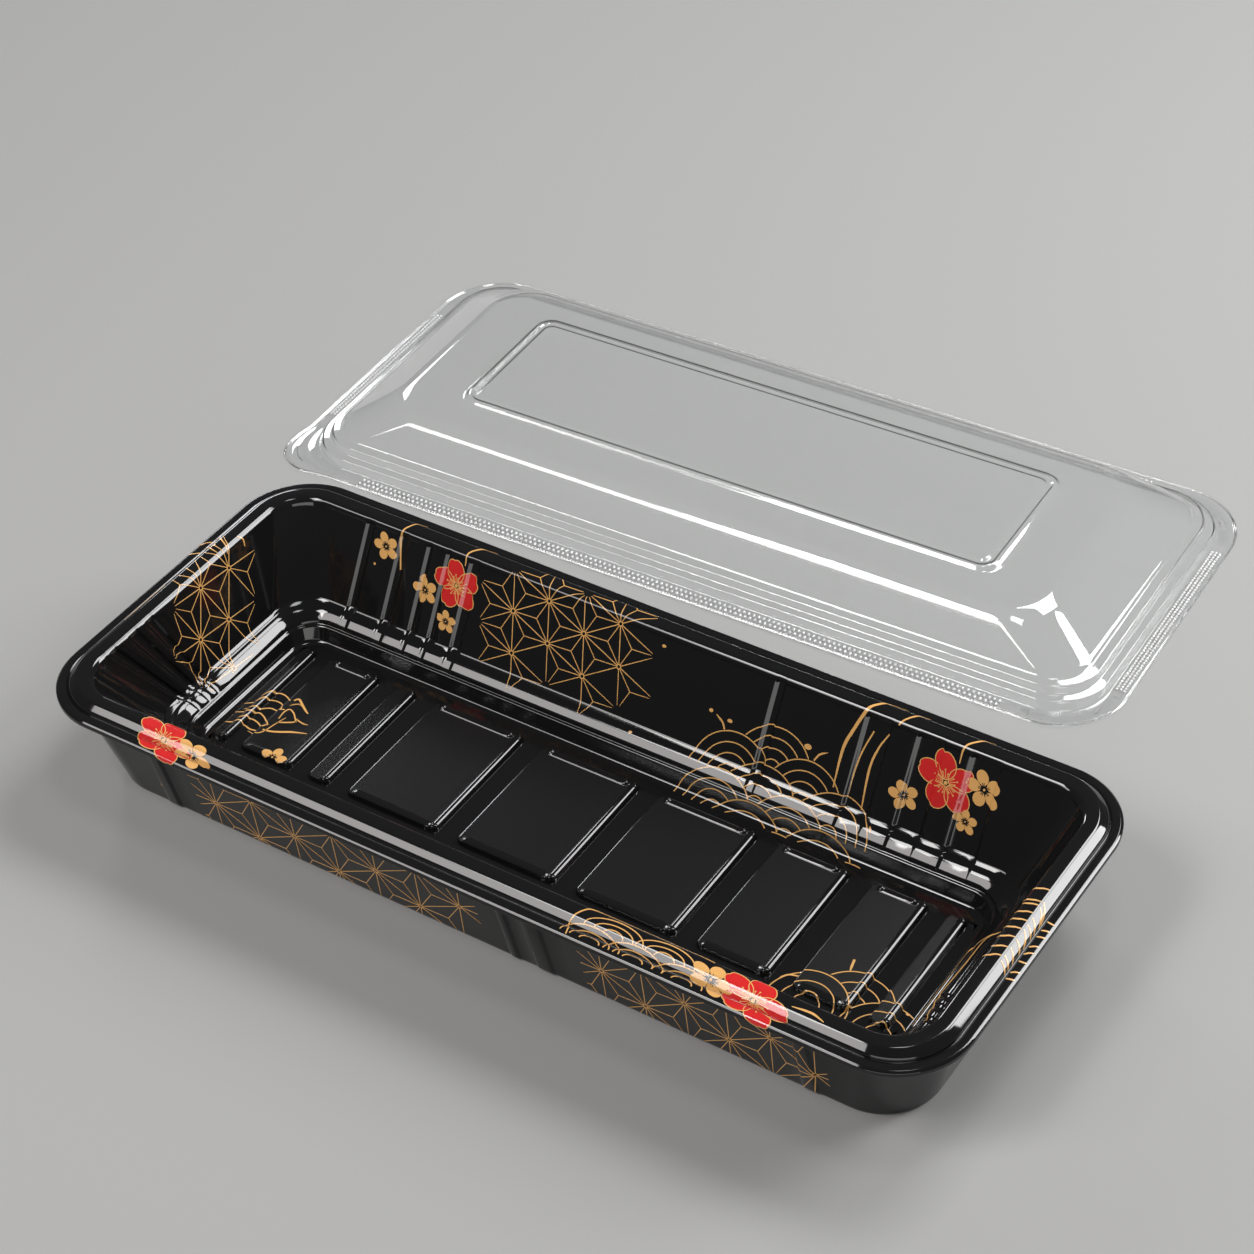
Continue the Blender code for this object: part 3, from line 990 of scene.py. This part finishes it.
def addRimArcs(settings):
    for band in settings["bands"]:
        for place, down, reach in band["arcs"]:
            points = [(place, down)] + [(place + reach * share, low) for share, low in band["bend"]]
            addLine("gold", settings["side"], smoothLine(points), settings["width"], taper=band["taper"])


for strokeSide, group in strokes.items():
    for places, width, taper in group:
        addLine("gold", strokeSide, smoothLine(places), width, strokeLayer, taper)
for dropSide, centre, radius, stretch in drops:
    addDisc("gold", dropSide, centre, radius, dropLayer, stretch)
addRimArcs(rimArcs)

# Blossoms: five petals about a centre; red ones have notched tips, a gold outline and gold threads

# kind, side, centre, radius, turn in degrees, and the petals that are drawn where not all five are
blossoms = (
    ("red", "back", (-53.3, 8.3), 5.5, 0),
    ("red", "back", (68.3, 9.4), 6.2, 0),
    ("red", "front", (-72.4, -3.4), 6.4, 90),
    ("red", "front", (68.7, -3.6), 6.4, 90),
    ("gold", "back", (-73.1, 5.7), 3.1, -12),
    ("gold", "back", (-60.8, 11.8), 3.1, -8),
    ("gold", "back", (-53.8, 16.8), 2.5, 4),
    ("gold", "back", (60.2, 15.4), 3.2, -8),
    ("gold", "back", (76.4, 8.3), 3.9, -6),
    ("gold", "back", (74.4, 16), 2.6, 6),
    ("gold", "front", (-64.6, -4), 4.1, 30),
    ("gold", "front", (59.3, -3.2), 4.3, 20),
    ("gold", "floor", (-67.9, -16.1), 3.3, 0, (0, 1, 4)),
)
petal = {
    "red": {"middle": 0.575, "reach": 0.44, "half": 0.385, "notch": 0.13, "base": 0.08,
            "threads": ((-0.28, 0.34), (0.02, 0.42), (0.30, 0.31)), "threadInk": "gold", "threadFrom": 0.36,
            "threadWidth": 0.15, "threadLayer": 5.2},
    "gold": {"middle": 0.60, "reach": 0.38, "half": 0.325, "notch": 0, "base": 0.12,
             "threads": ((-0.14, 0.34), (0.14, 0.34)), "threadInk": "dark", "threadFrom": 0.3,
             "threadWidth": 0.17, "threadLayer": 4.4},
    "notchWidth": 0.2,
    "baseWidth": 0.4,
    "rings": 6,
    "sides": 30,
    "layer": 3.2,
    "layerStep": 0.12,
    "edge": {"width": 0.2, "layer": 4.4, "step": 0.1},
    "knob": {"radius": 0.19, "layer": 5.8, "rings": 1, "sides": 8},
    "heart": {"radius": 0.07, "layer": 6.4},
}
# where a blossom's own right and up point on each side's sheet
blossomAxes = {
    "back": ((1.05, -0.10), (-0.33, -1)),
    "front": ((1.2, -0.06), (-0.2, 0.8)),
    "floor": ((1, 0), (0, 1)),
}


def addBlossom(kind, side, centre, radius, turn, petals=range(5)):
    shape = petal[kind]
    edge = petal["edge"]
    knob = petal["knob"]
    angle = np.linspace(0, 2 * math.pi, petal["sides"] + 1)
    away = np.minimum(angle, 2 * math.pi - angle)
    reach = 1 - shape["notch"] * np.exp(-(away / petal["notchWidth"]) ** 2)
    reach = reach + shape["base"] * np.exp(-((away - math.pi) / petal["baseWidth"]) ** 2)
    outline = [shape["half"] * np.sin(angle) * reach, shape["reach"] * np.cos(angle) * reach]
    outline = np.stack(outline, 1) * radius
    middle = np.array((0, shape["middle"] * radius))
    shares = np.linspace(0, 1, petal["rings"] + 1)[1:]
    for index in petals:
        lean = math.radians(turn + 360 / 5 * index)
        spin = np.array([[math.cos(lean), -math.sin(lean)], [math.sin(lean), math.cos(lean)]])
        axes = spin @ np.array(blossomAxes[side])
        grid = [centre + (middle + outline * share) @ axes for share in shares]
        addPatch(kind, side, grid, petal["layer"] + petal["layerStep"] * index, centre + middle @ axes)
        above = edge["step"] * index
        if kind == "red":
            addLine("gold", side, grid[-1], edge["width"], edge["layer"] + above, closed=True)
        for threadLean, length in shape["threads"]:
            tip = np.array((math.sin(threadLean), math.cos(threadLean))) * length * radius
            thread = [centre + tip * shape["threadFrom"] @ axes, centre + tip @ axes]
            addLine(shape["threadInk"], side, thread, shape["threadWidth"], shape["threadLayer"] + above)
            if kind == "red":
                addDisc("gold", side, thread[1], **knob)
    heart = petal["heart"]
    addDisc("gold", side, centre, radius * heart["radius"], heart["layer"])


for blossom in blossoms:
    addBlossom(*blossom)


def makeInk(name, settings):
    material, tree, shader = newMaterial(name + " ink", settings)
    place = addNode(tree, "ShaderNodeTexCoord")
    cloud = addNode(tree, "ShaderNodeTexNoise", ink["cloud"])
    wire(place, "Object", cloud, "Vector")
    darker = [channel * ink["shade"] for channel in settings["colour"][:3]]
    tint = addNode(tree, "ShaderNodeMixRGB", {"Color1": settings["colour"], "Color2": (*darker, 1)})
    wire(cloud, "Fac", tint, "Fac")
    wire(tint, "Color", shader, "Base Color")
    return material


def patchFaces(first, rows, columns, hasCentre):
    if not hasCentre:
        corners = [first + row * columns + column for row in range(rows - 1) for column in range(columns - 1)]
        return [(corner, corner + 1, corner + columns + 1, corner + columns) for corner in corners]
    faces = []
    around = columns - 1
    for column in range(around):
        after = (column + 1) % around
        faces.append((first, first + 1 + column, first + 1 + after))
        for row in range(rows - 1):
            corner = first + 1 + row * around
            faces.append((corner + column, corner + around + column, corner + around + after, corner + after))
    return faces


def buildInk(name):
    points = []
    faces = []
    for side, grid, lift, centre in patches[name]:
        rows, columns = grid.shape[:2]
        placed = inkPoints(side, grid, lift)
        outward = placed[0, 0] - inkPlace(side, grid)[0, 0]
        if centre is None:
            placed = placed.reshape(-1, 3)
        else:
            middle = inkPoints(side, np.array(centre, float)[None], lift)
            placed = np.concatenate([middle, placed[:, :-1].reshape(-1, 3)])
        patch = patchFaces(len(points), rows, columns, centre is not None)
        a, b, c = (placed[corner - len(points)] for corner in patch[0][:3])
        if np.cross(b - a, c - a) @ outward < 0:
            patch = [face[::-1] for face in patch]
        points += placed.tolist()
        faces += patch
    piece = meshPiece("print_" + name, points, faces)
    thicken(piece, ink["thickness"])
    shadeSmooth(piece, ink["smooth"])
    return piece


for inkName, inkSettings in inks.items():
    printed = buildInk(inkName)
    printed.data.materials.append(makeInk(inkName, inkSettings))
    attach(printed, "root")
    print("print", inkName + ":", len(printed.data.polygons), "faces")

# Lid: one thin clear shell with a flange, two steps, a dome and a raised centre field

lid = {
    "sheet": 0.42,
    "room": 0.01,  # the shell stays this far inside its box
    "cornerSteps": 22,
    "tab": 4.5,
    "tabRidge": 0.45,
    "turn": math.radians(2),
    "place": (-28, 119.3),
    "smooth": 40,
}


def lidRows():
    top = lidHeight
    low = lid["sheet"]
    # end inset, side inset, corner radius, height, rounding, share of the tab and of the ridge on it
    return [
        (0, 0, 16.6, low + 0.1, 0, 1),
        (0.35, 0.35, 16.3, low + 0.45, 0.2, 1),
        (0.9, 0.9, 15.8, low, 0.25, 0.95),
        (1.6, 1.6, 15.2, low, 0, 0.85),
        (2.1, 2.1, 14.8, low, 0, 0.75, 1),
        (2.6, 2.6, 14.4, low, 0, 0.55),
        (3.3, 3.3, 13.8, low, 0, 0.35),
        (3.8, 3.8, 13.4, low, 0, 0.2, 1),
        (4.4, 4.4, 12.9, low, 0.3),
        (5.1, 5.1, 12.4, 2.7, 0.45),
        (6.9, 6.9, 11.2, 2.9, 0.4),
        (7.4, 7.4, 10.9, 4.8, 0.45),
        (9.3, 9.3, 9.8, 5.1, 0.5),
        (10.1, 10, 9.6, 6.1, 0.5),
        (20.9, 15.1, 11.4, top - 2, 1.4),
        (23.5, 17.4, 10.6, top - 1, 0.9),
        (37.2, 25.9, 4.7, top - 1, 0.4),
        (38.2, 26.9, 3.9, top, 0.4),
        (39, 27.7, 3.3, top, 0.25),
        (39.5, 28.2, 2.9, top - 0.35, 0.2),
        (40.1, 28.8, 2.5, top - 0.35, 0.2),
        (40.6, 29.3, 2.2, top, 0.25),
        (42, 30.7, 1.2, top, 0),
    ]


def lidRing(row):
    endInset, sideInset, radius, height, tab, ridge = row
    runX = halfLength - lid["room"] - endInset - radius
    runY = halfWidth - lid["room"] - sideInset - radius
    steps = lid["cornerSteps"]
    share = np.linspace(0, 1, steps + 1)
    bulge = radius + tab * lid["tab"] * np.sin(share * math.pi) ** 2
    parts = [
        cornerPoints(runX, -runY, radius, -math.pi / 2, steps),
        cornerPoints(runX, runY, radius, 0, steps),
        cornerPoints(-runX, runY, radius, math.pi / 2, steps),
    ]
    angle = math.pi + share * math.pi / 2
    parts.append(np.stack([-runX + bulge * np.cos(angle), -runY + bulge * np.sin(angle)], 1))
    ring = np.concatenate(parts)
    heights = np.full(len(ring), height)
    heights[-steps - 1:] += ridge * lid["tabRidge"] * np.sin(share * math.pi) ** 2
    ring = np.column_stack([ring, heights])
    return np.concatenate([ring, ring[:1]])


def placeLid(piece):
    place = Matrix.Translation((lid["place"][0] * mm, lid["place"][1] * mm, 0))
    piece.data.transform(place @ Matrix.Rotation(lid["turn"], 4, "Z"))


def buildLid():
    shell = bendGrid("lid_shell", np.stack([lidRing(row) for row in roundPath(lidRows())]))
    mergeSeam(shell)
    closeEdges(shell, lambda place: place.z > lidHeight / 2, bpy.ops.mesh.edge_face_add)
    mergeSeam(shell)
    thicken(shell, lid["sheet"], even=True)
    placeLid(shell)
    shadeSmooth(shell, lid["smooth"])
    shell.data.materials.append(clearMaterial)
    return shell


lidShell = buildLid()
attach(lidShell, "root")
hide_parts("lid")
print("lid shell:", len(lidShell.data.polygons), "faces")

# Knurls pressed into the lid's flange: rows of small domes on each side, and a fine bumpy edge

knurls = {
    "front": {"insets": (1.9, 3.2), "pitch": 1.27, "reach": 84, "dome": (0.34, 0.46, 0.42)},
    "back": {"insets": (1.9, 3.2), "pitch": 1.27, "reach": 82, "dome": (0.32, 0.42, 0.36)},
    "right": {"insets": (1.7, 2.6, 3.5), "pitch": 0.95, "reach": 27, "dome": (0.36, 0.36, 0.36)},
    "left": {"insets": (1.7, 2.6, 3.5), "pitch": 0.95, "reach": 24, "dome": (0.36, 0.36, 0.36)},
    "frontEdge": {"insets": (0.55,), "pitch": 0.8, "reach": 84, "dome": (0.25, 0.22, 0.16)},
}
knurl = {
    "segments": 8,
    "rings": 4,
    "cut": -0.01,  # a dome is cut off here, just below its middle
    "sink": 0.06,
    "shift": 0.25,  # share of the pitch by which every other row is shifted
    "endRoom": 0.01,
    "smooth": 60,
}


def makeDome():
    deselectAll()
    bpy.ops.mesh.primitive_uv_sphere_add(segments=knurl["segments"], ring_count=knurl["rings"], radius=1)
    dome = bpy.context.object
    editPiece(dome, "SELECT")
    bpy.ops.mesh.bisect(plane_co=(0, 0, knurl["cut"]), plane_no=(0, 0, 1), clear_inner=True, use_fill=True)
    bpy.ops.object.mode_set(mode="OBJECT")
    return dome


def knurlPlaces(side, settings):
    along = np.arange(-settings["reach"], settings["reach"] + knurl["endRoom"], settings["pitch"])
    onEnd = side in ("left", "right")
    sign = 1 if side in ("right", "back") else -1
    places = []
    for index, inset in enumerate(settings["insets"]):
        shifted = along + (index % 2) * settings["pitch"] * knurl["shift"]
        out = np.full_like(shifted, sign * ((halfLength if onEnd else halfWidth) - inset))
        places.append(np.stack([out, shifted] if onEnd else [shifted, out], 1))
    return np.concatenate(places)


def buildKnurls():
    dome = makeDome()
    corners = np.array([vertex.co for vertex in dome.data.vertices])
    loops = [tuple(face.vertices) for face in dome.data.polygons]
    points = []
    faces = []
    for side, settings in knurls.items():
        shape = corners * settings["dome"]
        for x, y in knurlPlaces(side, settings):
            first = len(points)
            points += (shape + (x, y, lid["sheet"] - knurl["sink"])).tolist()
            faces += [tuple(first + corner for corner in loop) for loop in loops]
    bpy.data.objects.remove(dome)
    piece = meshPiece("lid_knurls", points, faces)
    placeLid(piece)
    shadeSmooth(piece, knurl["smooth"])
    # the knurls' plastic carries painted glints: white diffuse colour in place of highlights
    piece.data.materials.append(glintWhiteMaterial)
    return piece


lidKnurls = buildKnurls()
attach(lidKnurls, "root")
print("lid knurls:", len(lidKnurls.data.polygons), "faces")
